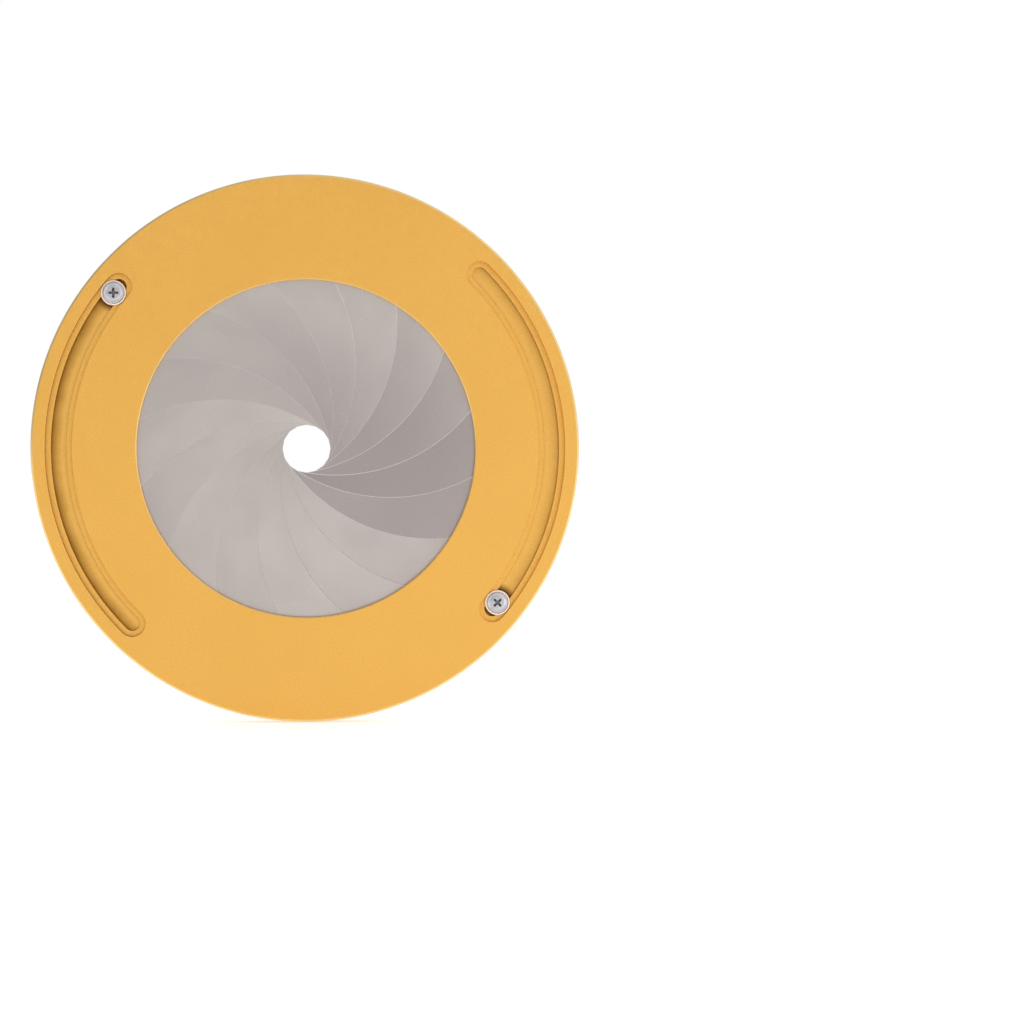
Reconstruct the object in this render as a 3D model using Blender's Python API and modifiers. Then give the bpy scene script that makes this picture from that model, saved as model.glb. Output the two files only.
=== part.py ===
"""Adjustable iris circle template: sixteen steel blades in a round aluminium housing.

The disc stands upright with its axis along Y and its centre at the origin.  The closed back
plate faces -Y and the graduated scale disc faces +Y.  Turning the scale disc carries the
sixteen drive pins round, and each blade swings about its own pivot pin in the housing.

All lengths are metres and all angles are degrees.  Pieces are modelled flat, with +Z towards
the scale side, under one empty that stands the whole tool up.
"""

import math
from functools import lru_cache

import bmesh
import bpy
from mathutils import Matrix

MM = 0.001
MERGE = 1e-7

# Overall size
OUTER_RADIUS = 60.0 * MM
BORE_RADIUS = 37.0 * MM
FRONT = 3.0 * MM
BACK = -3.0 * MM
EDGE_CHAMFER = 0.4 * MM
FINE_CHAMFER = 0.12 * MM
RING_SIDES = 60
HALF_FACET = 180.0 / RING_SIDES

# Housing: back plate, ledge under the scale disc, thin rim round it
PLATE_INNER_FACE = -1.25 * MM
LEDGE_RADIUS = 57.2 * MM
LEDGE_TOP = 1.15 * MM
RIM_INNER_RADIUS = 59.05 * MM

# Scale disc
DISC_RADIUS = 58.85 * MM
DISC_INNER_FACE = 1.2 * MM
DISC_FRONT = 2.8 * MM
DISC_CHAMFER = 0.2 * MM
LAND_OUTER_RADIUS = 57.0 * MM
LAND_INNER_RADIUS = 51.0 * MM
LAND_FACE = -0.9 * MM

# Motion, in degrees
SWEEP = 86.0
REST_FROM_CLOSED = 1.9
BLADE_RATIO = 0.479

# Stepped arc slots in the back plate, for the guide sleeves
GUIDE_RADIUS = 53.9 * MM
GUIDE_ANGLES = (141.0, 321.0)
SLOT_WIDTH = 3.3 * MM
STEP_WIDTH = 5.8 * MM
STEP_DEPTH = 1.2 * MM
ARC_STEPS = 20
END_STEPS = 6

# Blades
BLADE_COUNT = 16
BLADE_PITCH = 360.0 / BLADE_COUNT
FIRST_PIVOT = 9.0
PIVOT_RADIUS = 48.0 * MM
BLADE_INNER_RADIUS = 38.2 * MM
BLADE_OUTER_RADIUS = 50.2 * MM
BLADE_THICKNESS = 0.07 * MM
BLADE_CLEARANCE = 0.0195 * MM
BLADE_CAP_ANGLES = (1.5, 136.5)
BLADE_LOWEST = -1.165 * MM
BLADE_STEPS = 24
CAP_STEPS = 3

# Pins riveted in the blades
DRIVE_RADIUS = 45.8 * MM
DRIVE_ANGLE = 138.0
PIVOT_PIN_RADIUS = 1.0 * MM
DRIVE_PIN_RADIUS = 1.0 * MM
TENON_RADIUS = 0.7 * MM
TENON_HOLE_RADIUS = 0.75 * MM
SEAT_GAP = 0.03 * MM
PIN_SIDES = 10

# Pockets that take the pins
PIVOT_HOLE_RADIUS = 1.1 * MM
PIVOT_HOLE_DEPTH = 1.05 * MM
PIVOT_PIN_END = -2.2 * MM
RADIAL_SLOT_WIDTH = 3.6 * MM
RADIAL_SLOT_SPAN = (37.7 * MM, 50.4 * MM)
RADIAL_SLOT_DEPTH = 1.0 * MM
DRIVE_PIN_END = 2.1 * MM
DRIVE_PIN_LEAD = 0.82

# Guide sleeves and clamp screws
SLEEVE_BORE = 1.05 * MM
SLEEVE_RADIUS = 1.5 * MM
SLEEVE_TOP = -0.95 * MM
FLANGE_RADIUS = 2.77 * MM
FLANGE_BACK = -2.35 * MM
FLANGE_SEAT = -1.85 * MM
SCREW_HEAD_RADIUS = 2.35 * MM
SCREW_HEAD_BACK = -2.95 * MM
SCREW_HEAD_SEAT = -2.4 * MM
SCREW_SHANK_RADIUS = 0.95 * MM
SCREW_END = 2.05 * MM
SCREW_HOLE_RADIUS = 1.05 * MM
RECESS_LENGTH = 2.5 * MM
RECESS_WIDTH = 0.55 * MM
RECESS_DEPTH = 0.35 * MM
RECESS_TAPER = 0.7
RECESS_TURNS = (0.0, 45.0)
SMALL_SIDES = 20


# ---------------------------------------------------------------- helpers

def clear_scene():
    for obj in list(bpy.data.objects):
        bpy.data.objects.remove(obj, do_unlink=True)


def new_collection(name):
    collection = bpy.data.collections.new(name)
    bpy.context.scene.collection.children.link(collection)
    return collection


def new_material(name, colour, metallic, roughness):
    material = bpy.data.materials.new(name)
    material.use_nodes = True
    shader = material.node_tree.nodes["Principled BSDF"]
    shader.inputs["Base Color"].default_value = (*colour, 1.0)
    shader.inputs["Metallic"].default_value = metallic
    shader.inputs["Roughness"].default_value = roughness
    return material


def on_circle(radius, angle):
    """A point at a polar angle, in degrees."""
    turn = math.radians(angle)
    return (radius * math.cos(turn), radius * math.sin(turn))


def finish_mesh(mesh):
    """Smooth the round faces and keep the edges sharp."""
    mesh.shade_smooth()
    mesh.set_sharp_from_angle(angle=math.radians(30.0))
    return mesh


def baked(source):
    """The evaluated mesh of a helper object, which is then removed."""
    bpy.context.scene.collection.objects.link(source)
    depsgraph = bpy.context.evaluated_depsgraph_get()
    mesh = bpy.data.meshes.new_from_object(source.evaluated_get(depsgraph))
    name = source.name
    bpy.data.objects.remove(source, do_unlink=True)
    welded = bmesh.new()
    welded.from_mesh(mesh)
    bmesh.ops.remove_doubles(welded, verts=welded.verts, dist=MERGE)
    welded.to_mesh(mesh)
    welded.free()
    mesh.name = name
    return finish_mesh(mesh)


def turned(name, outline, sides, ring=False):
    """Turn (radius, height) points, listed from the top down the outer side, about Z.

    A ring is turned on by half a facet, so that it stands on a flat of its rim.
    """
    edges = [(i, i + 1) for i in range(len(outline) - 1)]
    if ring:
        edges.append((len(outline) - 1, 0))
    profile = bpy.data.meshes.new(name)
    profile.from_pydata([(radius, 0.0, height) for radius, height in outline], edges, [])
    source = bpy.data.objects.new(name, profile)
    screw = source.modifiers.new("turn", "SCREW")
    screw.steps = sides
    screw.render_steps = sides
    screw.use_merge_vertices = True
    screw.merge_threshold = MERGE
    mesh = baked(source)
    if ring:
        mesh.transform(Matrix.Rotation(math.radians(HALF_FACET), 4, "Z"))
    return mesh


def plate(name, outlines, low, high):
    """A flat plate with the given closed (x, y) outlines, between two heights."""
    curve = bpy.data.curves.new(name, "CURVE")
    curve.dimensions = "2D"
    curve.fill_mode = "BOTH"
    curve.extrude = (high - low) / 2
    for outline in outlines:
        spline = curve.splines.new("POLY")
        spline.points.add(len(outline) - 1)
        for point, (x, y) in zip(spline.points, outline):
            point.co = (x, y, 0.0, 1.0)
        spline.use_cyclic_u = True
    mesh = baked(bpy.data.objects.new(name, curve))
    mesh.transform(Matrix.Translation((0.0, 0.0, (low + high) / 2)))
    return mesh


def place(name, mesh, collection, parent, location=(0.0, 0.0, 0.0), turn=0.0):
    obj = bpy.data.objects.new(name, mesh)
    obj.parent = parent
    obj.location = location
    obj.rotation_euler.z = math.radians(turn)
    collection.objects.link(obj)
    return obj


def place_cutter(name, mesh, collection, parent):
    cutter = place(name, mesh, collection, parent)
    cutter.hide_render = True
    cutter.display_type = "WIRE"
    return cutter


def cut(obj, cutter):
    boolean = obj.modifiers.new(cutter.name, "BOOLEAN")
    boolean.operation = "DIFFERENCE"
    boolean.solver = "EXACT"
    boolean.object = cutter


def paint(mesh, material):
    mesh.materials.clear()
    mesh.materials.append(material)


# ---------------------------------------------------------------- outlines

def circle_outline(centre, radius, sides):
    points = [on_circle(radius, 360.0 * i / sides) for i in range(sides)]
    return [(centre[0] + x, centre[1] + y) for x, y in points]


def half_turn(centre, radius, start):
    """The points strictly inside a half circle that starts at a polar angle."""
    angles = [start + 180.0 * i / END_STEPS for i in range(1, END_STEPS)]
    points = [on_circle(radius, angle) for angle in angles]
    return [(centre[0] + x, centre[1] + y) for x, y in points]


def arc_slot_outline(width, start, end):
    """A slot of one width along the guide circle, with round ends."""
    half = width / 2
    angles = [start + (end - start) * i / ARC_STEPS for i in range(ARC_STEPS + 1)]
    outer = [on_circle(GUIDE_RADIUS + half, angle) for angle in angles]
    far_end = half_turn(on_circle(GUIDE_RADIUS, end), half, end)
    inner = [on_circle(GUIDE_RADIUS - half, angle) for angle in reversed(angles)]
    near_end = half_turn(on_circle(GUIDE_RADIUS, start), half, start + 180.0)
    return outer + far_end + inner + near_end


def radial_slot_outline(angle):
    """A straight slot with round ends that points at the disc's centre."""
    half = RADIAL_SLOT_WIDTH / 2
    outer_end = on_circle(RADIAL_SLOT_SPAN[1] - half, angle)
    inner_end = on_circle(RADIAL_SLOT_SPAN[0] + half, angle)
    side = on_circle(half, angle + 90.0)
    corners = [
        (outer_end[0] - side[0], outer_end[1] - side[1]),
        *half_turn(outer_end, half, angle - 90.0),
        (outer_end[0] + side[0], outer_end[1] + side[1]),
        (inner_end[0] + side[0], inner_end[1] + side[1]),
        *half_turn(inner_end, half, angle + 90.0),
        (inner_end[0] - side[0], inner_end[1] - side[1]),
    ]
    return corners


def cross_outline(length, width):
    """A cross recess, with arms that narrow towards their ends."""
    long = length / 2
    short = width / 2
    tip = short * RECESS_TAPER
    quarter = [(long, -tip), (long, tip), (short, short)]
    points = []
    for step in range(4):
        x_axis = on_circle(1.0, 90.0 * step)
        for x, y in quarter:
            points.append((x * x_axis[0] - y * x_axis[1], x * x_axis[1] + y * x_axis[0]))
    return points


# ---------------------------------------------------------------- iris law

def flat_angle(back_angle):
    """An angle seen from the back, turned into the flat model's own angle."""
    return -back_angle


def pivot_angle(index):
    return flat_angle(FIRST_PIVOT + BLADE_PITCH * index)


def closing_turn():
    """How far a blade has swung from fully open, at rest."""
    return BLADE_RATIO * (SWEEP - REST_FROM_CLOSED)


def neighbour_spacing(angle):
    """The least angle between two blades that cross at this place, with the iris closed.

    It is smallest at mid blade, where all the blades crowd round the hole.
    """
    middle = 71.0
    least = 2.75
    bend = 5.4
    growth = 0.225
    return least + math.hypot(bend, growth * (angle - middle)) - bend


@lru_cache(maxsize=None)
def blade_lift(angle):
    """Height of a blade's mid surface, which climbs from its pivot end to its drive end.

    The climb is just steep enough for each blade to lie over the one before it.
    """
    start = blade_cap_tip(0)
    steps = 400
    width = (angle - start) / steps
    height = BLADE_LOWEST
    for i in range(steps):
        place_on_blade = start + width * (i + 0.5)
        height += width * (BLADE_THICKNESS + BLADE_CLEARANCE) / neighbour_spacing(place_on_blade)
    return height


def blade_middle():
    return (BLADE_INNER_RADIUS + BLADE_OUTER_RADIUS) / 2


def blade_half_width():
    return (BLADE_OUTER_RADIUS - BLADE_INNER_RADIUS) / 2


def blade_cap_tip(end):
    """The angle that a blade's round end reaches: end 0 is the pivot's, end 1 the drive pin's."""
    reach = math.degrees(math.atan2(blade_half_width(), blade_middle()))
    return BLADE_CAP_ANGLES[end] + (reach if end else -reach)


def blade_stations():
    """Where the blade's cross lines lie: (angle, distance past the angle, half width)."""
    half = blade_half_width()
    first, last = BLADE_CAP_ANGLES
    stations = []
    for i in range(CAP_STEPS, 0, -1):
        cap = math.radians(90.0 * i / CAP_STEPS)
        stations.append((first, -half * math.sin(cap), half * math.cos(cap)))
    for i in range(BLADE_STEPS + 1):
        stations.append((first + (last - first) * i / BLADE_STEPS, 0.0, half))
    for i in range(1, CAP_STEPS + 1):
        cap = math.radians(90.0 * i / CAP_STEPS)
        stations.append((last, half * math.sin(cap), half * math.cos(cap)))
    return stations


# ---------------------------------------------------------------- housing and scale disc

def housing_mesh():
    outline = [
        (OUTER_RADIUS - EDGE_CHAMFER, FRONT),
        (OUTER_RADIUS, FRONT - EDGE_CHAMFER),
        (OUTER_RADIUS, BACK + EDGE_CHAMFER),
        (OUTER_RADIUS - EDGE_CHAMFER, BACK),
        (BORE_RADIUS + EDGE_CHAMFER, BACK),
        (BORE_RADIUS, BACK + EDGE_CHAMFER),
        (BORE_RADIUS, PLATE_INNER_FACE),
        (LEDGE_RADIUS, PLATE_INNER_FACE),
        (LEDGE_RADIUS, LEDGE_TOP),
        (RIM_INNER_RADIUS, LEDGE_TOP),
        (RIM_INNER_RADIUS, FRONT - FINE_CHAMFER),
        (RIM_INNER_RADIUS + FINE_CHAMFER, FRONT),
    ]
    return turned("back_housing", outline, RING_SIDES, ring=True)


def guide_slot_ends(back_angle):
    """The flat angles of one arc slot's two end centres."""
    closed = back_angle - REST_FROM_CLOSED
    return flat_angle(closed + SWEEP), flat_angle(closed)


def make_housing(parts, cutters, stand, material):
    mesh = housing_mesh()
    paint(mesh, material)
    housing = place("back_housing", mesh, parts, stand)
    ends = [guide_slot_ends(angle) for angle in GUIDE_ANGLES]
    deep = [arc_slot_outline(SLOT_WIDTH, *pair) for pair in ends]
    wide = [arc_slot_outline(STEP_WIDTH, *pair) for pair in ends]
    pockets = [
        circle_outline(on_circle(PIVOT_RADIUS, pivot_angle(i)), PIVOT_HOLE_RADIUS, PIN_SIDES)
        for i in range(BLADE_COUNT)
    ]
    beyond = 1.0 * MM
    cuts = {
        "cut_guide_slots": plate("cut_guide_slots", deep, BACK - beyond, PLATE_INNER_FACE + beyond),
        "cut_guide_steps": plate("cut_guide_steps", wide, BACK - beyond, BACK + STEP_DEPTH),
        "cut_pivot_pockets": plate(
            "cut_pivot_pockets", pockets,
            PLATE_INNER_FACE - PIVOT_HOLE_DEPTH, PLATE_INNER_FACE + beyond,
        ),
    }
    for name, cutter_mesh in cuts.items():
        cut(housing, place_cutter(name, cutter_mesh, cutters, stand))
    return housing


def make_scale_disc(parts, cutters, stand, material):
    outline = [
        (DISC_RADIUS - DISC_CHAMFER, DISC_FRONT),
        (DISC_RADIUS, DISC_FRONT - DISC_CHAMFER),
        (DISC_RADIUS, DISC_INNER_FACE),
        (LAND_OUTER_RADIUS, DISC_INNER_FACE),
        (LAND_OUTER_RADIUS, LAND_FACE),
        (LAND_INNER_RADIUS, LAND_FACE),
        (LAND_INNER_RADIUS, DISC_INNER_FACE),
        (BORE_RADIUS, DISC_INNER_FACE),
        (BORE_RADIUS, DISC_FRONT - EDGE_CHAMFER),
        (BORE_RADIUS + EDGE_CHAMFER, DISC_FRONT),
    ]
    mesh = turned("scale_disc", outline, RING_SIDES, ring=True)
    paint(mesh, material)
    disc = place("scale_disc", mesh, parts, stand)
    slots = [radial_slot_outline(drive_slot_angle(i)) for i in range(BLADE_COUNT)]
    holes = [
        circle_outline(on_circle(GUIDE_RADIUS, flat_angle(angle)), SCREW_HOLE_RADIUS, PIN_SIDES)
        for angle in GUIDE_ANGLES
    ]
    beyond = 1.0 * MM
    slot_floor = DISC_INNER_FACE + RADIAL_SLOT_DEPTH
    slot_cutter = place_cutter(
        "cut_radial_slots",
        plate("cut_radial_slots", slots, DISC_INNER_FACE - beyond, slot_floor), cutters, stand)
    hole_cutter = place_cutter(
        "cut_screw_holes",
        plate("cut_screw_holes", holes, LAND_FACE - beyond, slot_floor), cutters, stand)
    cut(disc, slot_cutter)
    cut(disc, hole_cutter)
    return disc


def drive_slot_angle(index):
    """The radial slot that a blade's drive pin runs in, at rest."""
    open_angle = pivot_angle(index) + DRIVE_ANGLE - DRIVE_PIN_LEAD
    return open_angle + SWEEP - REST_FROM_CLOSED


# ---------------------------------------------------------------- blades and their pins

def on_blade(radius, angle):
    """A point of the blade, measured from its pivot."""
    x, y = on_circle(radius, angle)
    return (x - PIVOT_RADIUS, y)


def blade_mesh():
    """The blade's mid surface: a grid bent along the arc and lifted along its length."""
    stations = blade_stations()
    sheet = bmesh.new()
    bmesh.ops.create_grid(sheet, x_segments=len(stations) - 1, y_segments=1, size=0.5)
    for vertex in sheet.verts:
        index = round((vertex.co.x + 0.5) * (len(stations) - 1))
        across = 1.0 if vertex.co.y > 0.0 else -1.0
        angle, past, half = stations[index]
        outward = on_circle(blade_middle() + across * half, angle)
        along = on_circle(past, angle + 90.0)
        x = outward[0] + along[0]
        y = outward[1] + along[1]
        own_angle = math.degrees(math.atan2(y, x))
        vertex.co = (x - PIVOT_RADIUS, y, blade_lift(round(own_angle, 6)))
    bmesh.ops.remove_doubles(sheet, verts=sheet.verts, dist=MERGE)
    bmesh.ops.recalc_face_normals(sheet, faces=sheet.faces)
    mesh = bpy.data.meshes.new("blade")
    sheet.to_mesh(mesh)
    sheet.free()
    return finish_mesh(mesh)


def pin_mesh(name, radius, shank_end, seat, tenon_end):
    """A shouldered pin: a shank, and a thinner tenon that is riveted in the blade."""
    outline = [
        (0.0, tenon_end),
        (TENON_RADIUS, tenon_end),
        (TENON_RADIUS, seat),
        (radius, seat),
        (radius, shank_end),
        (0.0, shank_end),
    ]
    if shank_end > tenon_end:
        outline.reverse()
    return turned(name, outline, PIN_SIDES)


def make_blades(parts, cutters, stand, blade_material, pin_material):
    mesh = blade_mesh()
    paint(mesh, blade_material)
    half = BLADE_THICKNESS / 2
    drive_place = on_blade(DRIVE_RADIUS, DRIVE_ANGLE)
    pivot_height = blade_lift(0.0)
    drive_height = blade_lift(DRIVE_ANGLE)
    pivot_pin = pin_mesh(
        "pivot_pin", PIVOT_PIN_RADIUS, PIVOT_PIN_END,
        pivot_height - half - SEAT_GAP, pivot_height + half,
    )
    drive_pin = pin_mesh(
        "drive_pin", DRIVE_PIN_RADIUS, DRIVE_PIN_END,
        drive_height + half + SEAT_GAP, drive_height - half,
    )
    paint(pivot_pin, pin_material)
    paint(drive_pin, pin_material)
    holes = [
        circle_outline((0.0, 0.0), TENON_HOLE_RADIUS, PIN_SIDES),
        circle_outline(drive_place, TENON_HOLE_RADIUS, PIN_SIDES),
    ]
    hole_mesh = plate("cut_tenon_holes", holes, BACK, FRONT)
    for i in range(BLADE_COUNT):
        label = f"{i + 1:02d}"
        x, y = on_circle(PIVOT_RADIUS, pivot_angle(i))
        turn = pivot_angle(i) + closing_turn()
        blade = place(f"blade_{label}", mesh, parts, stand, (x, y, 0.0), turn)
        sheet = blade.modifiers.new("sheet", "SOLIDIFY")
        sheet.thickness = BLADE_THICKNESS
        sheet.offset = 0.0
        cut(blade, place_cutter(f"cut_tenon_holes_{label}", hole_mesh, cutters, blade))
        place(f"pivot_pin_{label}", pivot_pin, parts, blade)
        place(f"drive_pin_{label}", drive_pin, parts, blade, (*drive_place, 0.0))


# ---------------------------------------------------------------- guides

def sleeve_mesh():
    outline = [
        (SLEEVE_RADIUS, SLEEVE_TOP),
        (SLEEVE_RADIUS, FLANGE_SEAT),
        (FLANGE_RADIUS, FLANGE_SEAT),
        (FLANGE_RADIUS, FLANGE_BACK),
        (SLEEVE_BORE, FLANGE_BACK),
        (SLEEVE_BORE, SLEEVE_TOP),
    ]
    return turned("guide_sleeve", outline, SMALL_SIDES, ring=True)


def screw_mesh():
    outline = [
        (0.0, SCREW_END),
        (SCREW_SHANK_RADIUS, SCREW_END),
        (SCREW_SHANK_RADIUS, SCREW_HEAD_SEAT),
        (SCREW_HEAD_RADIUS, SCREW_HEAD_SEAT),
        (SCREW_HEAD_RADIUS, SCREW_HEAD_BACK + FINE_CHAMFER),
        (SCREW_HEAD_RADIUS - FINE_CHAMFER, SCREW_HEAD_BACK),
        (0.0, SCREW_HEAD_BACK),
    ]
    return turned("clamp_screw", outline, SMALL_SIDES)


def make_guides(parts, cutters, disc, sleeve_material, screw_material):
    sleeve = sleeve_mesh()
    paint(sleeve, sleeve_material)
    screw = screw_mesh()
    paint(screw, screw_material)
    recess = plate(
        "cut_recess", [cross_outline(RECESS_LENGTH, RECESS_WIDTH)],
        SCREW_HEAD_BACK - RECESS_DEPTH, SCREW_HEAD_BACK + RECESS_DEPTH,
    )
    for label, angle, turn in zip("ab", GUIDE_ANGLES, RECESS_TURNS):
        location = (*on_circle(GUIDE_RADIUS, flat_angle(angle)), 0.0)
        place(f"guide_sleeve_{label}", sleeve, parts, disc, location)
        clamp = place(f"clamp_screw_{label}", screw, parts, disc, location, turn)
        cut(clamp, place_cutter(f"cut_recess_{label}", recess, cutters, clamp))


def main():
    clear_scene()
    parts = new_collection("iris_circle_template")
    cutters = new_collection("cutters")
    stand = bpy.data.objects.new("stand", None)
    stand.rotation_euler.x = math.radians(-90.0)
    parts.objects.link(stand)

    gold = new_material("gold_anodised", (0.80, 0.44, 0.10), 1.0, 0.38)
    scale_gold = new_material("gold_anodised_scale", (0.72, 0.40, 0.10), 1.0, 0.36)
    blade_steel = new_material("blade_steel", (0.52, 0.47, 0.43), 1.0, 0.32)
    pin_steel = new_material("pin_steel", (0.60, 0.59, 0.58), 1.0, 0.28)
    brass = new_material("sleeve_brass", (0.80, 0.50, 0.28), 1.0, 0.30)
    screw_steel = new_material("screw_steel", (0.66, 0.65, 0.64), 1.0, 0.25)

    make_housing(parts, cutters, stand, gold)
    disc = make_scale_disc(parts, cutters, stand, scale_gold)
    make_blades(parts, cutters, stand, blade_steel, pin_steel)
    make_guides(parts, cutters, disc, brass, screw_steel)


main()
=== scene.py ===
"""Adjustable iris circle template: the finished look.

Every piece is modelled flat, with +Z towards the scale side, and then stood upright by STAND,
so that the back plate faces -Y and the scale disc faces +Y.  Lengths are metres and angles are
degrees, counted anticlockwise as seen from the scale side unless a name says otherwise.

Some light and shade is painted into the materials, for the rest pose: painted shade on the blades
and painted highlights on their edges, painted shade on the walls and floors of the guide slots,
round the sleeves and in the screws' recesses, and painted highlights along the traces of the drive
slots on the scale.  They turn with their pieces.
"""

import math

import bmesh
import bpy
from mathutils import Matrix, Vector


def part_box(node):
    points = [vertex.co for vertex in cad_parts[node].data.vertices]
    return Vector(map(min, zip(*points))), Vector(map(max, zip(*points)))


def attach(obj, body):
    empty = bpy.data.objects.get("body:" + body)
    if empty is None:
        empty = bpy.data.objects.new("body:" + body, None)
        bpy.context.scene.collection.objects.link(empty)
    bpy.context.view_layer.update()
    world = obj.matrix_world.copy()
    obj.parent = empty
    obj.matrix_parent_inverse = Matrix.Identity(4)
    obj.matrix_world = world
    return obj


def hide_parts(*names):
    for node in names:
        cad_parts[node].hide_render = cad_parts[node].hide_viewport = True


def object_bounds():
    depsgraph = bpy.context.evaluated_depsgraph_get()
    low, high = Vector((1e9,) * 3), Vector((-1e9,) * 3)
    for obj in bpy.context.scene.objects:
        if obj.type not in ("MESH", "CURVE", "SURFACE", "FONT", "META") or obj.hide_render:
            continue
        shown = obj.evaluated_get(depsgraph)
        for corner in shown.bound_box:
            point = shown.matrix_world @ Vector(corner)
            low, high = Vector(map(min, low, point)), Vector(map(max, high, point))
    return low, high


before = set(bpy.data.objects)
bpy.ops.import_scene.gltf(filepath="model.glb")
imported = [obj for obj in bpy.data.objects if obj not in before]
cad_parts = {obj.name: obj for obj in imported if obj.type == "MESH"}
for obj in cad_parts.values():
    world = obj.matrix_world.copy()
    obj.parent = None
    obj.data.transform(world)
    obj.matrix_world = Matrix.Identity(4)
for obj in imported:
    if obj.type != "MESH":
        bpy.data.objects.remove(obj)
CAD_LOW, CAD_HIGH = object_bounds()

MM = 0.001
STAND = Matrix.Rotation(math.radians(-90.0), 4, "X")

# Housing, from the frame's boxes and the part's own sizes
HOUSING_LOW, HOUSING_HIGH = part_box("back_housing")
DISC_LOW, DISC_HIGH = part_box("scale_disc")
OUTER_RADIUS = HOUSING_HIGH.x
BACK = HOUSING_LOW.y
FRONT = HOUSING_HIGH.y
BORE_RADIUS = 37.0 * MM
PLATE_INNER_FACE = -1.25 * MM
LEDGE_RADIUS = 57.2 * MM
LEDGE_TOP = 1.15 * MM
RIM_INNER_RADIUS = 59.05 * MM
EDGE_CHAMFER = 0.45 * MM
BORE_CHAMFER = 0.22 * MM
FINE_CHAMFER = 0.1 * MM
RING_SIDES = 288

# Scale disc
DISC_RADIUS = DISC_HIGH.x
DISC_FRONT = DISC_HIGH.y
LAND_FACE = DISC_LOW.y
DISC_INNER_FACE = 1.2 * MM
LAND_OUTER_RADIUS = 57.0 * MM
LAND_INNER_RADIUS = 51.0 * MM

# Motion
SWEEP = 86.0
REST_FROM_CLOSED = 1.9
BLADE_RATIO = 0.479

# Guide slots, sleeves and screws; these angles are seen from the back
GUIDE_RADIUS = 53.9 * MM
GUIDE_ANGLES = (141.0, 321.0)
SLOT_WIDTH = 3.3 * MM
STEP_WIDTH = 5.8 * MM
STEP_DEPTH = 1.2 * MM
SLOT_CHAMFER = 0.03 * MM
SLOT_ZONE = (50.0 * MM, 57.5 * MM)
# Spans of painted shade on the slot floors: out from the disc's axis, and out from each sleeve's
# middle
FLOOR_SHADE_SPAN = (53.2 * MM, 55.6 * MM)
SLEEVE_SHADE_SPAN = (3.0 * MM, 4.4 * MM)
GUIDE_SIDES = 96
SCREW_TURNS = (0.0, 45.0)
RECESS_MOUTH = -2.895 * MM
RECESS_REACH = 1.16 * MM
CUT_BEYOND = 0.5 * MM
ARC_STEPS = 96
END_STEPS = 24

# Blades
BLADE_COUNT = 16
BLADE_PITCH = 360.0 / BLADE_COUNT
FIRST_PIVOT = 9.0
PIVOT_RADIUS = 48.0 * MM
BLADE_INNER_RADIUS = 38.2 * MM
BLADE_OUTER_RADIUS = 50.2 * MM
BLADE_THICKNESS = 0.07 * MM
BLADE_CLEARANCE = 0.0195 * MM
BLADE_CAP_ANGLES = (1.5, 136.5)
BLADE_LOWEST = -1.165 * MM
BLADE_STEPS = 150
CAP_STEPS = 14
LIFT_STEP = 0.1
LIFT_STEPS = 1600
EDGE_BEVEL = 0.12 * MM
EDGE_THINNING = 0.25
EDGE_BANDS = (0, 4, 5, 6, 10, 11)
BLADE_SHARP_ANGLE = 3.0
UV_SCALE = 10.0
UV_GAP = 7.3

# Painted light and shade on the blades: a painted dark side near the hole, a painted light side
# near the rim, painted highlights on the edges on one side, and a painted shade for each sheet
INNER_SHADE = 1.0
INNER_SHADE_AT = 92.0
INNER_SHADE_REACH = 24.0 * MM
RIM_LIGHT = 0.42
RIM_LIGHT_AT = 65.0
RIM_LIGHT_LEAST = -0.5
RIM_LIGHT_FROM = 24.0 * MM
RIM_LIGHT_FULL = 34.0 * MM
EDGE_SHINE_AT = 12.0
EDGE_SHINE_FOCUS = 1.5
SHEET_SHADES = (1.1, 0.95, 0.7, 0.35, 0.3, 0.35, 0.3, 0.25, 0.0, 0.1, 0.0, 0.1, 0.0, 0.05, 0.2, 0.9)

# Pins, their pockets and slots, and the screws' holes
DRIVE_ANGLE = 138.0
DRIVE_PIN_LEAD = 0.82
RADIAL_SLOT_WIDTH = 3.6 * MM
RADIAL_SLOT_SPAN = (37.7 * MM, 50.4 * MM)
RADIAL_SLOT_DEPTH = 1.0 * MM
PIVOT_HOLE_RADIUS = 1.1 * MM
PIVOT_HOLE_DEPTH = 1.05 * MM
SCREW_HOLE_RADIUS = 1.05 * MM
HOLE_SIDES = 32

# Scale
INDEX_ANGLE = 326.4
OPEN_DIAMETER = 2 * BLADE_INNER_RADIUS
FIRST_READING = 10
LAST_READING = 75
TICK_OUTER = 58.55 * MM
SHORT_TICK_INNER = 56.3 * MM
LONG_TICK_INNER = 55.2 * MM
SHORT_TICK_WIDTH = 0.28 * MM
LONG_TICK_WIDTH = 0.42 * MM
DIGIT_HEIGHT = 2.75 * MM
DIGIT_STROKE = 0.44 * MM
DIGIT_BASE = 54.3 * MM
MARK_LIFT = 0.012 * MM
STROKE_LIFT = 0.002 * MM
INDEX_WIDTH = 0.35 * MM
WITNESS_LEAD = 2.8
WITNESS_SPAN = (40.5 * MM, 49.5 * MM)
WITNESS_WIDTH = 0.16 * MM
STROKE_STEPS = 20

# Light: a soft white tent, as brightness from left to right, and as (share of the way out along
# the disc's axis, brightness); then two lamps as (name, watts, size, place)
TENT_LEFT = 0.62
TENT_RIGHT = 1.22
TENT_RING = ((0.0, 0.85), (0.3, 0.75), (0.52, 1.5), (0.86, 1.5), (0.96, 0.75), (1.0, 0.65))
LIGHTS = (
    ("key", 0.9, 0.35, (-0.7, -0.5, 0.35)),
    ("fill", 1.6, 0.35, (0.7, -0.5, 0.0)),
)

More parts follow.
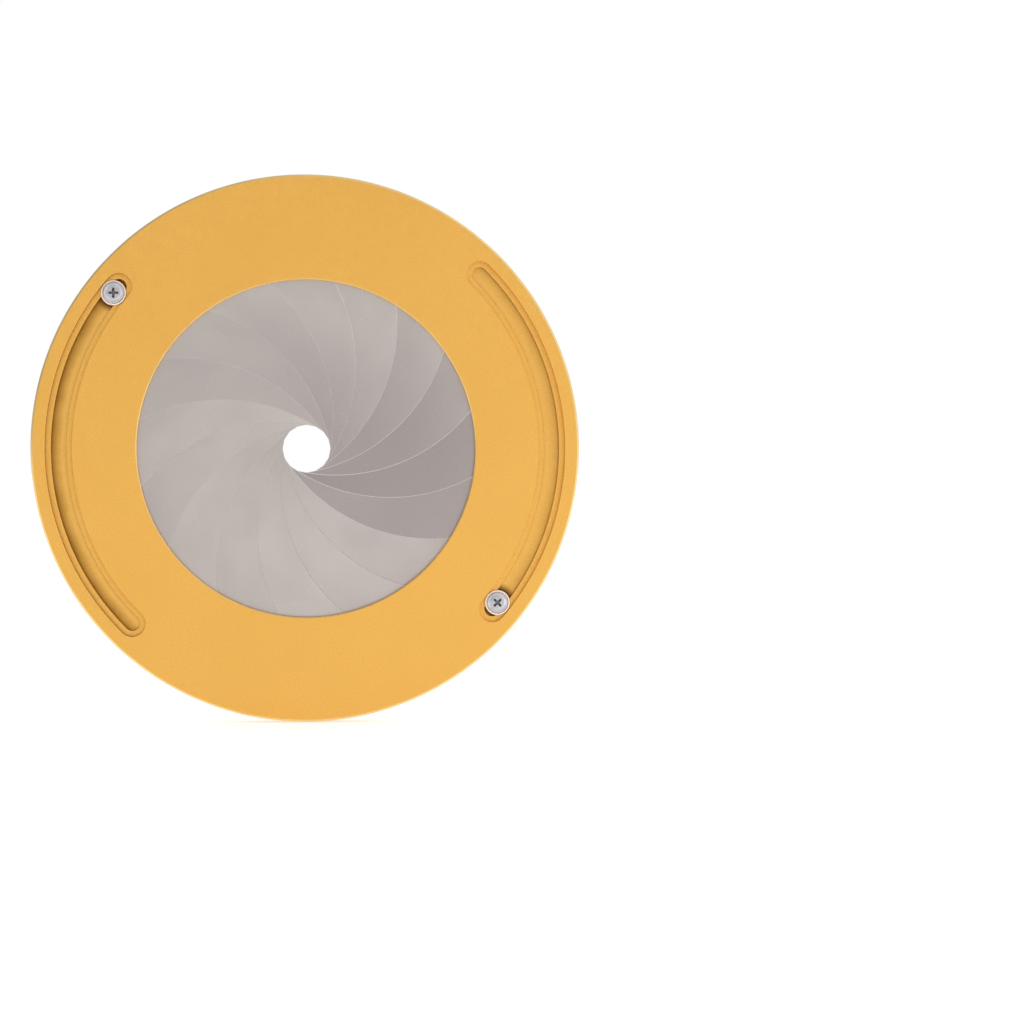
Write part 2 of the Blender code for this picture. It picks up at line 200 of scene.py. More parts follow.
# Camera: lens and sensor in millimetres, and where the disc's middle and its radius come, as
# shares of the frame's width
LENS = 100.0
SENSOR = 36.0
DISC_IN_FRAME = (-0.2006, 0.0619)
DISC_SHARE = 0.2653

# Floor
FLOOR_RADIUS = 6.0
FLOOR_DROP = 0.2 * MM


# ---------------------------------------------------------------- meshes

def on_circle(radius, angle):
    turn = math.radians(angle)
    return Vector((radius * math.cos(turn), radius * math.sin(turn)))


def flat_angle(back_angle):
    """An angle seen from the back, turned into the flat model's own angle."""
    return -back_angle


def finish_mesh(mesh, sharp=32.0):
    mesh.shade_smooth()
    mesh.set_sharp_from_angle(angle=math.radians(sharp))
    return mesh


def revolved(name, outline, sides, ring=False, finishes=None):
    """Turn (radius, height) points, listed from the top down the outer side, about Z.

    finishes gives the material index of each stretch between two points.
    """
    shape = bmesh.new()
    columns = []
    for i in range(sides):
        angle = 360.0 * i / sides
        column = []
        for radius, height in outline:
            column.append(shape.verts.new((*on_circle(radius, angle), height)))
        columns.append(column)
    count = len(outline) if ring else len(outline) - 1
    for i in range(sides):
        here = columns[i]
        after = columns[(i + 1) % sides]
        for j in range(count):
            k = (j + 1) % len(outline)
            face = shape.faces.new((here[j], here[k], after[k], after[j]))
            face.material_index = finishes[j] if finishes else 0
    bmesh.ops.remove_doubles(shape, verts=shape.verts, dist=1e-8)
    bmesh.ops.recalc_face_normals(shape, faces=shape.faces)
    return to_mesh(name, shape)


def stacked(name, levels):
    """A closed solid through outlines of one point count, listed as (outline, height)."""
    shape = bmesh.new()
    rows = []
    for outline, height in levels:
        rows.append([shape.verts.new((x, y, height)) for x, y in outline])
    for low, high in zip(rows, rows[1:]):
        for i in range(len(low)):
            j = (i + 1) % len(low)
            shape.faces.new((low[i], low[j], high[j], high[i]))
    shape.faces.new(list(reversed(rows[0])))
    shape.faces.new(rows[-1])
    bmesh.ops.recalc_face_normals(shape, faces=shape.faces)
    return to_mesh(name, shape)


def upright(outline, low, high):
    """A cutter with straight sides."""
    return stacked("upright", [(outline, low), (outline, high)])


def to_mesh(name, shape):
    mesh = bpy.data.meshes.new(name)
    shape.to_mesh(mesh)
    shape.free()
    return finish_mesh(mesh)


def cut_mesh(mesh, cutters, finishes=1):
    """The mesh with each cutter mesh taken out of it; finishes is its number of materials."""
    scene = bpy.context.scene
    body = bpy.data.objects.new(mesh.name, mesh)
    scene.collection.objects.link(body)
    dress(mesh, [bpy.data.materials.new("place") for _ in range(finishes)])
    helpers = []
    for cutter in cutters:
        helper = bpy.data.objects.new("cutter", cutter)
        scene.collection.objects.link(helper)
        boolean = body.modifiers.new("cut", "BOOLEAN")
        boolean.solver = "EXACT"
        boolean.object = helper
        helpers.append(helper)
    depsgraph = bpy.context.evaluated_depsgraph_get()
    result = bpy.data.meshes.new_from_object(body.evaluated_get(depsgraph))
    for helper in [body, *helpers]:
        bpy.data.objects.remove(helper, do_unlink=True)
    return finish_mesh(result)


def dress(mesh, materials):
    """Give the mesh these materials, and leave each face with the one of its own number."""
    finishes = [face.material_index for face in mesh.polygons]
    mesh.materials.clear()
    for material in materials:
        mesh.materials.append(material)
    mesh.polygons.foreach_set("material_index", finishes)


def piece(name, mesh, materials, body, place=None, replaces=()):
    """Stand a flat mesh upright and make it a piece that rides on a body."""
    own = mesh.copy()
    own.name = name
    own.transform(STAND @ place if place else STAND)
    dress(own, materials)
    obj = bpy.data.objects.new(name, own)
    bpy.context.scene.collection.objects.link(obj)
    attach(obj, body)
    if replaces:
        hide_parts(*replaces)
    return obj


# ---------------------------------------------------------------- outlines

def half_turn(centre, radius, start):
    angles = [start + 180.0 * i / END_STEPS for i in range(1, END_STEPS)]
    return [centre + on_circle(radius, angle) for angle in angles]


def arc_slot_outline(width, start, end):
    """A slot of one width along the guide circle, with round ends."""
    half = width / 2
    angles = [start + (end - start) * i / ARC_STEPS for i in range(ARC_STEPS + 1)]
    outer = [on_circle(GUIDE_RADIUS + half, angle) for angle in angles]
    far_end = half_turn(on_circle(GUIDE_RADIUS, end), half, end)
    inner = [on_circle(GUIDE_RADIUS - half, angle) for angle in reversed(angles)]
    near_end = half_turn(on_circle(GUIDE_RADIUS, start), half, start + 180.0)
    return outer + far_end + inner + near_end


def radial_slot_outline(angle):
    """A straight slot with round ends that points at the disc's centre."""
    half = RADIAL_SLOT_WIDTH / 2
    outer_end = on_circle(RADIAL_SLOT_SPAN[1] - half, angle)
    inner_end = on_circle(RADIAL_SLOT_SPAN[0] + half, angle)
    side = on_circle(half, angle + 90.0)
    return [
        outer_end - side,
        *half_turn(outer_end, half, angle - 90.0),
        outer_end + side,
        inner_end + side,
        *half_turn(inner_end, half, angle + 90.0),
        inner_end - side,
    ]


def hole_outline(middle, radius):
    return [middle + on_circle(radius, 360.0 * i / HOLE_SIDES) for i in range(HOLE_SIDES)]


def cross_outline(length, width, taper):
    """A cross recess with arms that narrow towards their ends."""
    long = length / 2
    short = width / 2
    quarter = [(long, -short * taper), (long, short * taper), (short, short)]
    points = []
    for step in range(4):
        axis = on_circle(1.0, 90.0 * step)
        for x, y in quarter:
            points.append(Vector((x * axis.x - y * axis.y, x * axis.y + y * axis.x)))
    return points


# ---------------------------------------------------------------- materials

def shader_tree(name, metallic=1.0):
    material = bpy.data.materials.new(name)
    material.use_nodes = True
    tree = material.node_tree
    shader = tree.nodes["Principled BSDF"]
    shader.inputs["Metallic"].default_value = metallic
    return material, tree, shader


def object_place(tree):
    """The place on the piece, in metres, in the frame that the CAD uses."""
    return tree.nodes.new("ShaderNodeTexCoord").outputs["Object"]


def object_noise(tree, scale, detail=3.0, rough=0.55):
    """Noise in the frame that the CAD uses, in cycles per metre."""
    return noise_on(tree, object_place(tree), scale, detail, rough)


def blade_noise(tree, stretch, detail=3.0, rough=0.55):
    """Noise on a blade's own UVs; stretch is its (cycles along, cycles across) per UV unit."""
    where = tree.nodes.new("ShaderNodeTexCoord")
    mapping = tree.nodes.new("ShaderNodeMapping")
    mapping.inputs["Scale"].default_value = (*stretch, 1.0)
    tree.links.new(where.outputs["UV"], mapping.inputs["Vector"])
    return noise_on(tree, mapping.outputs["Vector"], 1.0, detail, rough)


def noise_on(tree, vector, scale, detail, rough):
    noise = tree.nodes.new("ShaderNodeTexNoise")
    noise.inputs["Scale"].default_value = scale
    noise.inputs["Detail"].default_value = detail
    noise.inputs["Roughness"].default_value = rough
    tree.links.new(vector, noise.inputs["Vector"])
    return noise.outputs["Fac"]


def ranged(tree, value, low, high, start=0.3, end=0.7, ease="LINEAR"):
    """Map start to end onto low to high; the usual start and end suit a noise."""
    node = tree.nodes.new("ShaderNodeMapRange")
    node.interpolation_type = ease
    node.inputs["From Min"].default_value = start
    node.inputs["From Max"].default_value = end
    node.inputs["To Min"].default_value = low
    node.inputs["To Max"].default_value = high
    tree.links.new(value, node.inputs["Value"])
    return node.outputs["Result"]


def fine_speck(tree):
    """The grain that blasting and rubbing leave, from 0 to 1."""
    return ranged(tree, object_noise(tree, 3000.0, 2.0, 0.7), 0.0, 1.0, 0.36, 0.64)


def carried(tree, name):
    """A value that the mesh carries at each of its points."""
    attribute = tree.nodes.new("ShaderNodeAttribute")
    attribute.attribute_name = name
    return attribute.outputs["Fac"]


def calculated(tree, operation, *values):
    node = tree.nodes.new("ShaderNodeMath")
    node.operation = operation
    for value, socket in zip(values, node.inputs):
        tree.links.new(value, socket)
    return node.outputs["Value"]


def blended(tree, factor, first, second):
    """Mix two colours; each is a tuple or a socket."""
    mix = tree.nodes.new("ShaderNodeMix")
    mix.data_type = "RGBA"
    tree.links.new(factor, mix.inputs["Factor"])
    for socket, colour in ((mix.inputs["A"], first), (mix.inputs["B"], second)):
        if isinstance(colour, tuple):
            socket.default_value = (*colour, 1.0)
        else:
            tree.links.new(colour, socket)
    return mix.outputs["Result"]


def bumped(tree, height, strength, distance):
    bump = tree.nodes.new("ShaderNodeBump")
    bump.inputs["Strength"].default_value = strength
    bump.inputs["Distance"].default_value = distance
    tree.links.new(height, bump.inputs["Height"])
    return bump.outputs["Normal"]


def darkened(colour, share):
    return tuple(channel * share for channel in colour)


def anodised(name, light, dark, roughness, grain):
    """Bead-blasted, dyed and sealed aluminium: a fine grain and a slow drift of colour."""
    material, tree, shader = shader_tree(name)
    drift = ranged(tree, object_noise(tree, 45.0, 2.0), 0.0, 1.0)
    slow = blended(tree, drift, light, dark)
    deeper = darkened(dark, 0.93)
    tree.links.new(blended(tree, fine_speck(tree), slow, deeper), shader.inputs["Base Color"])
    tree.links.new(
        ranged(tree, object_noise(tree, 900.0), roughness - 0.04, roughness + 0.05),
        shader.inputs["Roughness"],
    )
    blast = object_noise(tree, grain, 3.0, 0.7)
    tree.links.new(bumped(tree, blast, 0.5, 0.00003), shader.inputs["Normal"])
    return material


def slot_floor_painted_shade():
    """The raised ring seen through the slots, with a painted shade towards its outer side that is
    stronger on the left, and a painted shadow round the sleeves.
    """
    material, tree, shader = shader_tree("slot_floor")
    flatten = tree.nodes.new("ShaderNodeVectorMath")
    flatten.operation = "MULTIPLY"
    flatten.inputs[1].default_value = (1.0, 0.0, 1.0)
    reach = tree.nodes.new("ShaderNodeVectorMath")
    reach.operation = "LENGTH"
    tree.links.new(object_place(tree), flatten.inputs[0])
    tree.links.new(flatten.outputs["Vector"], reach.inputs[0])
    wander = ranged(tree, object_noise(tree, 160.0, 2.0), -0.25 * MM, 0.25 * MM)
    radius = calculated(tree, "ADD", reach.outputs["Value"], wander)
    outward = ranged(tree, radius, 0.0, 1.0, *FLOOR_SHADE_SPAN)
    shade = calculated(tree, "MULTIPLY", outward, left_to_right(tree, 1.0, 0.35))
    speck = fine_speck(tree)
    gold = blended(tree, speck, (0.83, 0.465, 0.11), (0.78, 0.435, 0.10))
    dark = blended(tree, speck, (0.38, 0.17, 0.026), (0.34, 0.15, 0.022))
    # Painted shadow round each sleeve: the floor turns near black close to it
    sleeve_shadow = ranged(tree, nearest_sleeve(tree), 0.9, 0.0, *SLEEVE_SHADE_SPAN)
    floor = blended(tree, shade, gold, dark)
    tree.links.new(
        blended(tree, sleeve_shadow, floor, (0.09, 0.03, 0.008)), shader.inputs["Base Color"])
    tree.links.new(ranged(tree, speck, 0.38, 0.46), shader.inputs["Roughness"])
    return material


def slot_wall_painted_shade():
    """The walls of the guide slots in painted shade: darker than the plate, and darker on the left
    than on the right.
    """
    material, tree, shader = shader_tree("slot_wall")
    speck = fine_speck(tree)
    dark = blended(tree, speck, (0.34, 0.15, 0.025), (0.30, 0.13, 0.02))
    light = blended(tree, speck, (0.76, 0.41, 0.085), (0.70, 0.37, 0.075))
    tree.links.new(
        blended(tree, left_to_right(tree, 0.0, 1.0), dark, light), shader.inputs["Base Color"])
    tree.links.new(ranged(tree, speck, 0.4, 0.5), shader.inputs["Roughness"])
    return material


def left_to_right(tree, left, right):
    """A value that changes from one side of the piece to the other; it turns with the piece."""
    parts = tree.nodes.new("ShaderNodeSeparateXYZ")
    tree.links.new(object_place(tree), parts.inputs["Vector"])
    return ranged(tree, parts.outputs["X"], left, right, -BORE_RADIUS, BORE_RADIUS)


def nearest_sleeve(tree):
    """Distance to the nearer sleeve's middle, on the face that the sleeves stand on."""
    place = object_place(tree)
    distances = []
    for angle in GUIDE_ANGLES:
        spot = on_circle(GUIDE_RADIUS, flat_angle(angle))
        distance = tree.nodes.new("ShaderNodeVectorMath")
        distance.operation = "DISTANCE"
        distance.inputs[1].default_value = STAND @ Vector((*spot, LAND_FACE))
        tree.links.new(place, distance.inputs[0])
        distances.append(distance.outputs["Value"])
    return calculated(tree, "MINIMUM", *distances)


def bright_cut(name, colour, roughness):
    """A turned edge, cut after blasting, with faint tool lines."""
    material, tree, shader = shader_tree(name)
    tint = ranged(tree, object_noise(tree, 220.0, 2.0), 0.0, 1.0)
    tree.links.new(
        blended(tree, tint, colour, darkened(colour, 0.9)), shader.inputs["Base Color"])
    tree.links.new(
        ranged(tree, object_noise(tree, 1500.0), roughness, roughness + 0.1),
        shader.inputs["Roughness"],
    )
    return material


def blade_steel():
    """Rolled stainless sheet: faint grain, cloudy handling marks and the blade's painted shade."""
    material, tree, shader = shader_tree("blade_steel")
    drift = blade_noise(tree, (8.0, 12.0), 1.5, 0.45)
    clouds = ranged(tree, drift, 0.0, 1.0, 0.2, 0.8, "SMOOTHSTEP")
    base = blended(tree, clouds, (0.605, 0.55, 0.513), (0.545, 0.495, 0.463))
    # Painted shade: the blade darkens towards this colour as far as the shade its points carry
    base = blended(tree, carried(tree, "painted_shade"), base, (0.37, 0.325, 0.315))
    grain = blade_noise(tree, (3.0, 1500.0), 2.0, 0.5)
    lines = ranged(tree, grain, 0.0, 0.03)
    tree.links.new(blended(tree, lines, base, (0.46, 0.42, 0.39)), shader.inputs["Base Color"])
    tree.links.new(ranged(tree, clouds, 0.265, 0.28, 0.0, 1.0), shader.inputs["Roughness"])
    return material


def blade_edge_steel():
    """The blades' etched edges, with painted shine: bright on one side of the iris, else dull."""
    material, tree, shader = shader_tree("blade_edge")
    wear = ranged(tree, blade_noise(tree, (40.0, 20.0)), 0.0, 0.35)
    worn_highlight = blended(tree, wear, (0.78, 0.74, 0.71), (0.56, 0.52, 0.49))
    # Painted highlight: edges that carry shine take the light, worn colour; the rest stay dull
    edge = blended(tree, carried(tree, "shine"), (0.435, 0.39, 0.37), worn_highlight)
    tree.links.new(edge, shader.inputs["Base Color"])
    tree.links.new(ranged(tree, wear, 0.22, 0.34, 0.0, 0.35), shader.inputs["Roughness"])
    return material


def plain_metal(name, colour, roughness):
    """Small turned parts: tool lines too fine to see, with a little tarnish."""
    material, tree, shader = shader_tree(name)
    tarnish = ranged(tree, object_noise(tree, 700.0), 0.0, 1.0)
    tree.links.new(
        blended(tree, tarnish, colour, darkened(colour, 0.84)), shader.inputs["Base Color"])
    tree.links.new(
        ranged(tree, object_noise(tree, 2500.0), roughness - 0.04, roughness + 0.08),
        shader.inputs["Roughness"],
    )
    return material


def etched_marking():
    """Laser marking: the dye is burnt off to a pale, matt oxide."""
    material, tree, shader = shader_tree("etched_marking", 0.0)
    wear = ranged(tree, object_noise(tree, 2600.0), 0.0, 1.0)
    tree.links.new(
        blended(tree, wear, (0.86, 0.78, 0.72), (0.74, 0.62, 0.50)), shader.inputs["Base Color"])
    tree.links.new(
        ranged(tree, object_noise(tree, 1800.0), 0.5, 0.7), shader.inputs["Roughness"])
    return material


# ---------------------------------------------------------------- iris law

def pivot_angle(index):
    return flat_angle(FIRST_PIVOT + BLADE_PITCH * index)


def drive_slot_angle(index):
    """Where the scale disc's slot for a blade's drive pin points, at rest."""
    return pivot_angle(index) + DRIVE_ANGLE - DRIVE_PIN_LEAD + SWEEP - REST_FROM_CLOSED


def closing_turn():
    """How far a blade has swung from fully open, at rest."""
    return BLADE_RATIO * (SWEEP - REST_FROM_CLOSED)


def neighbour_spacing(angle):
    """The least angle between two blades that cross at this place, with the iris closed."""
    middle = 71.0
    least = 2.75
    bend = 5.4
    growth = 0.225
    return least + math.hypot(bend, growth * (angle - middle)) - bend


def blade_middle():
    return (BLADE_INNER_RADIUS + BLADE_OUTER_RADIUS) / 2


def blade_half_width():
    return (BLADE_OUTER_RADIUS - BLADE_INNER_RADIUS) / 2


def lift_table():
    """Heights of a blade's mid surface at every LIFT_STEP degrees from its pivot end."""
    start = BLADE_CAP_ANGLES[0] - math.degrees(math.atan2(blade_half_width(), blade_middle()))
    heights = [BLADE_LOWEST]
    for i in range(LIFT_STEPS):
        angle = start + LIFT_STEP * (i + 0.5)
        climb = LIFT_STEP * (BLADE_THICKNESS + BLADE_CLEARANCE) / neighbour_spacing(angle)
        heights.append(heights[-1] + climb)
    return start, heights


LIFT_START, LIFT_HEIGHTS = lift_table()


def blade_lift(angle):
    step = max(0.0, (angle - LIFT_START) / LIFT_STEP)
    low = int(step)
    share = step - low
    return LIFT_HEIGHTS[low] * (1 - share) + LIFT_HEIGHTS[low + 1] * share


# ---------------------------------------------------------------- pieces

def housing_mesh():
    gold, bright = 0, 1
    outline = [
        (OUTER_RADIUS - EDGE_CHAMFER, FRONT, bright),
        (OUTER_RADIUS, FRONT - EDGE_CHAMFER, gold),
        (OUTER_RADIUS, BACK + EDGE_CHAMFER, bright),
        (OUTER_RADIUS - EDGE_CHAMFER, BACK, gold),
        (BORE_RADIUS + BORE_CHAMFER, BACK, bright),
        (BORE_RADIUS, BACK + BORE_CHAMFER, gold),
        (BORE_RADIUS, PLATE_INNER_FACE, gold),
        (LEDGE_RADIUS, PLATE_INNER_FACE, gold),
        (LEDGE_RADIUS, LEDGE_TOP, gold),
        (RIM_INNER_RADIUS, LEDGE_TOP, gold),
        (RIM_INNER_RADIUS, FRONT - FINE_CHAMFER, bright),
        (RIM_INNER_RADIUS + FINE_CHAMFER, FRONT, gold),
    ]
    points = [(radius, height) for radius, height, _ in outline]
    finishes = [finish for _, _, finish in outline]
    return revolved("back_housing_look", points, RING_SIDES, True, finishes)


def guide_slot_cutter(back_angle):
    """The stepped slot, with a small chamfer at its mouth."""
    closed = back_angle - REST_FROM_CLOSED
    ends = (flat_angle(closed + SWEEP), flat_angle(closed))
    levels = [
        (STEP_WIDTH + 2 * SLOT_CHAMFER, BACK - CUT_BEYOND),
        (STEP_WIDTH + 2 * SLOT_CHAMFER, BACK),
        (STEP_WIDTH, BACK + SLOT_CHAMFER),
        (STEP_WIDTH, BACK + STEP_DEPTH),
        (SLOT_WIDTH + 2 * SLOT_CHAMFER, BACK + STEP_DEPTH),
        (SLOT_WIDTH, BACK + STEP_DEPTH + SLOT_CHAMFER),
        (SLOT_WIDTH, PLATE_INNER_FACE + CUT_BEYOND),
    ]
    return stacked("slot", [(arc_slot_outline(width, *ends), height) for width, height in levels])


def pivot_pocket_cutter(index):
    """The blind pocket that a blade's pivot pin turns in."""
    outline = hole_outline(on_circle(PIVOT_RADIUS, pivot_angle(index)), PIVOT_HOLE_RADIUS)
    return upright(outline, PLATE_INNER_FACE - PIVOT_HOLE_DEPTH, PLATE_INNER_FACE + CUT_BEYOND)


def make_housing(gold, bright, wall):
    cutters = [guide_slot_cutter(angle) for angle in GUIDE_ANGLES]
    cutters += [pivot_pocket_cutter(i) for i in range(BLADE_COUNT)]
    mesh = cut_mesh(housing_mesh(), cutters, 3)
    # The slot walls below the plate's inner face take the slot wall material, with its painted
    # shade
    for face in mesh.polygons:
        is_wall = abs(face.normal.z) < 0.3 and face.center.z < PLATE_INNER_FACE
        if is_wall and SLOT_ZONE[0] < face.center.xy.length < SLOT_ZONE[1]:
            face.material_index = 2
    piece("housing_body", mesh, [gold, bright, wall], "housing",
          replaces=["back_housing"])


def make_scale_disc(satin_gold, bright, floor_gold):
    satin, shiny, floor = 0, 1, 2
    outline = [
        (DISC_RADIUS - 0.15 * MM, DISC_FRONT, shiny),
        (DISC_RADIUS, DISC_FRONT - 0.15 * MM, satin),
        (DISC_RADIUS, DISC_INNER_FACE, satin),
        (LAND_OUTER_RADIUS, DISC_INNER_FACE, satin),
        (LAND_OUTER_RADIUS, LAND_FACE, floor),
        (LAND_INNER_RADIUS, LAND_FACE, satin),
        (LAND_INNER_RADIUS, DISC_INNER_FACE, satin),
        (BORE_RADIUS, DISC_INNER_FACE, satin),
        (BORE_RADIUS, DISC_FRONT - BORE_CHAMFER, shiny),
        (BORE_RADIUS + BORE_CHAMFER, DISC_FRONT, satin),
    ]
    points = [(radius, height) for radius, height, _ in outline]
    finishes = [finish for _, _, finish in outline]
    mesh = revolved("scale_disc_look", points, RING_SIDES, True, finishes)
    bottom = DISC_INNER_FACE + RADIAL_SLOT_DEPTH
    cutters = []
    for i in range(BLADE_COUNT):
        outline = radial_slot_outline(drive_slot_angle(i))
        cutters.append(upright(outline, DISC_INNER_FACE - CUT_BEYOND, bottom))
    for angle in GUIDE_ANGLES:
        outline = hole_outline(on_circle(GUIDE_RADIUS, flat_angle(angle)), SCREW_HOLE_RADIUS)
        cutters.append(upright(outline, LAND_FACE - CUT_BEYOND, bottom))
    mesh = cut_mesh(mesh, cutters, 3)
    piece("scale_disc_body", mesh, [satin_gold, bright, floor_gold], "dial",
          replaces=["scale_disc"])


def blade_stations():
    """The blade's cross lines: (angle, distance past the angle, half width)."""
    half = blade_half_width()
    first, last = BLADE_CAP_ANGLES
    caps = [math.radians(90.0 * i / CAP_STEPS) for i in range(CAP_STEPS, 0, -1)]
    start = [(first, -half * math.sin(cap), half * math.cos(cap)) for cap in caps]
    middle = [(first + (last - first) * i / BLADE_STEPS, 0.0, half) for i in range(BLADE_STEPS + 1)]
    end = [(last, half * math.sin(cap), half * math.cos(cap)) for cap in reversed(caps)]
    return start + middle + end


def blade_mesh(number):
    """A thin blade with softened edges and the painted shade and highlights of its place round the
    iris.

    Its UVs run along and across it, apart from the other blades'.
    """
    shape = bmesh.new()
    uv_layer = shape.loops.layers.uv.new("along")
    rows = []
    places = {}
    half_thick = BLADE_THICKNESS / 2
    for angle, past, half in blade_stations():
        bevel = min(EDGE_BEVEL, half * 0.5)
        across = [-half, -half + bevel, -half / 3, half / 3, half - bevel, half]
        section = []
        for side in (-1, 1):
            order = across if side < 0 else list(reversed(across))
            for offset in order:
                flat = on_circle(blade_middle() + offset, angle) + on_circle(past, angle + 90.0)
                own_angle = math.degrees(math.atan2(flat.y, flat.x))
                thick = half_thick * (EDGE_THINNING if abs(offset) == half else 1.0)
                height = blade_lift(own_angle) + side * thick
                vertex = shape.verts.new((flat.x - PIVOT_RADIUS, flat.y, height))
                along = math.radians(own_angle) * blade_middle()
                places[vertex] = (along * UV_SCALE + UV_GAP * number, offset * UV_SCALE)
                section.append(vertex)
        rows.append(section)
    for here, after in zip(rows, rows[1:]):
        for i in range(len(here)):
            j = (i + 1) % len(here)
            face = shape.faces.new((here[i], here[j], after[j], after[i]))
            face.material_index = 1 if i in EDGE_BANDS else 0
    shape.faces.new(rows[0])
    shape.faces.new(list(reversed(rows[-1])))
    for face in shape.faces:
        for loop in face.loops:
            loop[uv_layer].uv = places[loop.vert]
    bmesh.ops.remove_doubles(shape, verts=shape.verts, dist=1e-7)
    bmesh.ops.recalc_face_normals(shape, faces=shape.faces)
    mesh = to_mesh("blade", shape)
    paint_blade_light(mesh, number)
    return mesh


def paint_blade_light(mesh, number):
    """Give each point of a blade its painted shade, and its edges their painted highlight, for the
    rest pose.
    """
    turn = math.radians(BLADE_PITCH * number)
    inner_shade = INNER_SHADE * math.cos(turn - math.radians(INNER_SHADE_AT))
    rim_light = RIM_LIGHT * max(RIM_LIGHT_LEAST, math.cos(turn - math.radians(RIM_LIGHT_AT)))
    hub = Vector((-PIVOT_RADIUS * math.cos(math.radians(closing_turn())),
                  PIVOT_RADIUS * math.sin(math.radians(closing_turn()))))
    shades = []
    for vertex in mesh.vertices:
        radius = (vertex.co.xy - hub).length
        nearness = max(0.0, 1.0 - radius / INNER_SHADE_REACH)
        outness = max(0.0, (radius - RIM_LIGHT_FROM) / (RIM_LIGHT_FULL - RIM_LIGHT_FROM))
        shades.append(SHEET_SHADES[number] + inner_shade * nearness - rim_light * outness)
    mesh.attributes.new("painted_shade", "FLOAT", "POINT").data.foreach_set("value", shades)
    shine = max(0.0, math.cos(turn - math.radians(EDGE_SHINE_AT))) ** EDGE_SHINE_FOCUS
    shines = [shine] * len(mesh.vertices)
    mesh.attributes.new("shine", "FLOAT", "POINT").data.foreach_set("value", shines)


def make_blades(steel, edge):
    for i in range(BLADE_COUNT):
        mesh = finish_mesh(blade_mesh(i), BLADE_SHARP_ANGLE)
        label = f"{i + 1:02d}"
        pivot = on_circle(PIVOT_RADIUS, pivot_angle(i))
        turn = math.radians(pivot_angle(i) + closing_turn())
        place = Matrix.Translation((*pivot, 0.0)) @ Matrix.Rotation(turn, 4, "Z")
        piece(f"blade_sheet_{label}", mesh, [steel, edge], f"leaf_{label}", place,
              replaces=[f"blade_{label}"])


def make_guides(brass, screw_steel, recess_shade):
    sleeve = revolved("sleeve", [
        (1.50 * MM, -0.95 * MM),
        (1.50 * MM, -1.85 * MM),
        (2.70 * MM, -1.85 * MM),
        (2.77 * MM, -1.92 * MM),
        (2.77 * MM, -2.66 * MM),
        (2.70 * MM, -2.74 * MM),
        (2.45 * MM, -2.76 * MM),
        (2.42 * MM, -2.72 * MM),
        (2.40 * MM, -2.36 * MM),
        (1.05 * MM, -2.35 * MM),
        (1.05 * MM, -0.95 * MM),
    ], GUIDE_SIDES, ring=True)
    head = revolved("screw", [
        (0.0, 2.05 * MM),
        (0.95 * MM, 2.05 * MM),
        (0.95 * MM, -2.38 * MM),
        (2.24 * MM, -2.38 * MM),
        (2.30 * MM, -2.44 * MM),
        (2.30 * MM, -2.74 * MM),
        (2.18 * MM, -2.86 * MM),
        (1.95 * MM, -2.90 * MM),
        (1.90 * MM, -2.87 * MM),
        (1.80 * MM, -2.87 * MM),
        (1.75 * MM, -2.905 * MM),
        (1.2 * MM, -2.94 * MM),
        (0.0, -2.95 * MM),
    ], GUIDE_SIDES)
    recess = stacked("recess", [
        (cross_outline(1.2 * MM, 0.36 * MM, 0.8), -2.35 * MM),
        (cross_outline(2.2 * MM, 0.56 * MM, 0.8), -2.92 * MM),
        (cross_outline(2.3 * MM, 0.64 * MM, 0.8), -3.3 * MM),
    ])
    for label, angle, turn in zip("ab", GUIDE_ANGLES, SCREW_TURNS):
        spot = Matrix.Translation((*on_circle(GUIDE_RADIUS, flat_angle(angle)), 0.0))
        piece(f"sleeve_{label}", sleeve, [brass], "dial", spot,
              replaces=[f"guide_sleeve_{label}"])
        spun = spot @ Matrix.Rotation(math.radians(turn), 4, "Z")
        screw = cut_mesh(head.copy(), [recess])
        # Painted shade: the faces deep in the cross recess take a dark steel
        for face in screw.polygons:
            deep = face.center.z > RECESS_MOUTH and face.center.xy.length < RECESS_REACH
            face.material_index = 1 if deep else 0
        piece(f"screw_{label}", screw, [screw_steel, recess_shade], "dial", spun,
              replaces=[f"clamp_screw_{label}"])


# ---------------------------------------------------------------- scale markings

def reading_angle(diameter):
    """Front-view angle, at rest, of the mark that meets the index at a hole diameter in mm."""
    swing = 2 * math.degrees(
        math.asin((OPEN_DIAMETER - diameter * MM) / (4 * PIVOT_RADIUS)))
    return INDEX_ANGLE + SWEEP - REST_FROM_CLOSED - swing / BLADE_RATIO


def mark_quad(shape, angle, inner, outer, width):
    """A flat radial line between two (radius, height) ends; the angle is a front-view one."""
    along = on_circle(1.0, angle + 180.0)
    side = on_circle(width / 2, angle + 270.0)
    corners = []
    for (radius, height), offset in ((inner, -side), (outer, -side), (outer, side), (inner, side)):
        corners.append(shape.verts.new((*(along * radius + offset), height)))
    shape.faces.new(corners)


